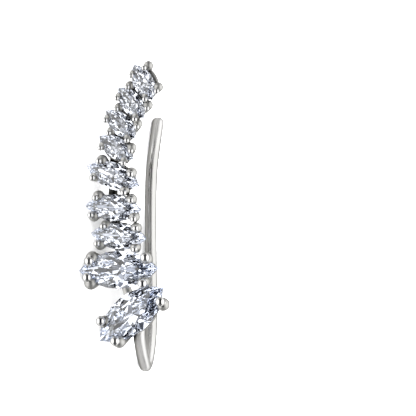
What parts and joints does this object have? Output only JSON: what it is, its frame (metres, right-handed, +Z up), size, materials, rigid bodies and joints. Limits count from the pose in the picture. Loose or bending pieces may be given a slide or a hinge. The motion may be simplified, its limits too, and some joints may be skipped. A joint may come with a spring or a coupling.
{
  "type": "ear climber earring",
  "caption": "Curved ear climber: a rising line of marquise stones in claw settings, with an ear wire that runs up behind them.",
  "frame": {"origin": "middle of the footprint, on the surface the earring lies on", "axes": "+Z up, +Y along the climber from its widest stones to its narrow end, +X to the right seen from the stones' side"},
  "size_m": [0.0086, 0.0258, 0.0076],
  "materials": {
    "polished_silver": "bright polished, rhodium plated silver",
    "clear_stone": "clear faceted cubic zirconia, marquise brilliant cut"
  },
  "bodies": {
    "root": {"climber_frame": "polished_silver", "stone_1": "clear_stone", "stone_2": "clear_stone", "stone_3": "clear_stone", "stone_4": "clear_stone", "stone_5": "clear_stone", "stone_6": "clear_stone", "stone_7": "clear_stone", "stone_8": "clear_stone", "stone_9": "clear_stone"}
  },
  "joints": []
}
